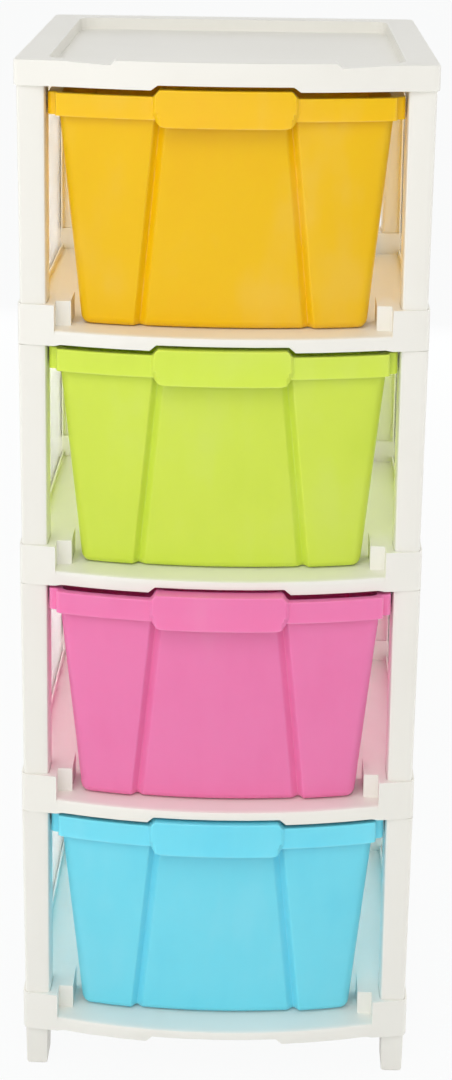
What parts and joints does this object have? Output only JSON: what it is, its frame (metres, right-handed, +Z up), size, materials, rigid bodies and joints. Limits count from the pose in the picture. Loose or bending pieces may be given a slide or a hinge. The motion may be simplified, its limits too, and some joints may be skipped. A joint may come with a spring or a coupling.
{
  "type": "drawer unit",
  "caption": "Tall narrow plastic storage unit: stacked shelves on corner posts, a tray top and coloured pull-out drawers with moulded pulls.",
  "frame": {"origin": "centre of the whole unit's footprint, on the floor", "axes": "+Z up, -Y towards the front that the drawers open to, +X to the viewer's right"},
  "size_m": [0.38, 0.436, 0.9975],
  "materials": {
    "frame": "fine satin moulding",
    "yellow": "semi-gloss moulding",
    "green": "semi-gloss moulding",
    "pink": "semi-gloss moulding",
    "blue": "semi-gloss moulding"
  },
  "bodies": {
    "frame": {"top_cover": "frame", "shelf_1": "frame", "shelf_2": "frame", "shelf_3": "frame", "base_shelf": "frame", "post_1_front_left": "frame", "post_1_front_right": "frame", "post_1_back_left": "frame", "post_1_back_right": "frame", "post_2_front_left": "frame", "post_2_front_right": "frame", "post_2_back_left": "frame", "post_2_back_right": "frame", "post_3_front_left": "frame", "post_3_front_right": "frame", "post_3_back_left": "frame", "post_3_back_right": "frame", "post_4_front_left": "frame", "post_4_front_right": "frame", "post_4_back_left": "frame", "post_4_back_right": "frame", "side_panel_1_left": "frame", "side_panel_1_right": "frame", "side_panel_2_left": "frame", "side_panel_2_right": "frame", "side_panel_3_left": "frame", "side_panel_3_right": "frame", "side_panel_4_left": "frame", "side_panel_4_right": "frame"},
    "drawer_1": {"drawer_1": "yellow"},
    "drawer_2": {"drawer_2": "green"},
    "drawer_3": {"drawer_3": "pink"},
    "drawer_4": {"drawer_4": "blue"}
  },
  "joints": [
    {"name": "drawer_1_slide", "type": "slide", "parent": "frame", "child": "drawer_1", "axis": [0, -1, 0], "range_m": [0, 0.26]},
    {"name": "drawer_2_slide", "type": "slide", "parent": "frame", "child": "drawer_2", "axis": [0, -1, 0], "range_m": [0, 0.26]},
    {"name": "drawer_3_slide", "type": "slide", "parent": "frame", "child": "drawer_3", "axis": [0, -1, 0], "range_m": [-0.009, 0.251]},
    {"name": "drawer_4_slide", "type": "slide", "parent": "frame", "child": "drawer_4", "axis": [0, -1, 0], "range_m": [0, 0.26]}
  ]
}
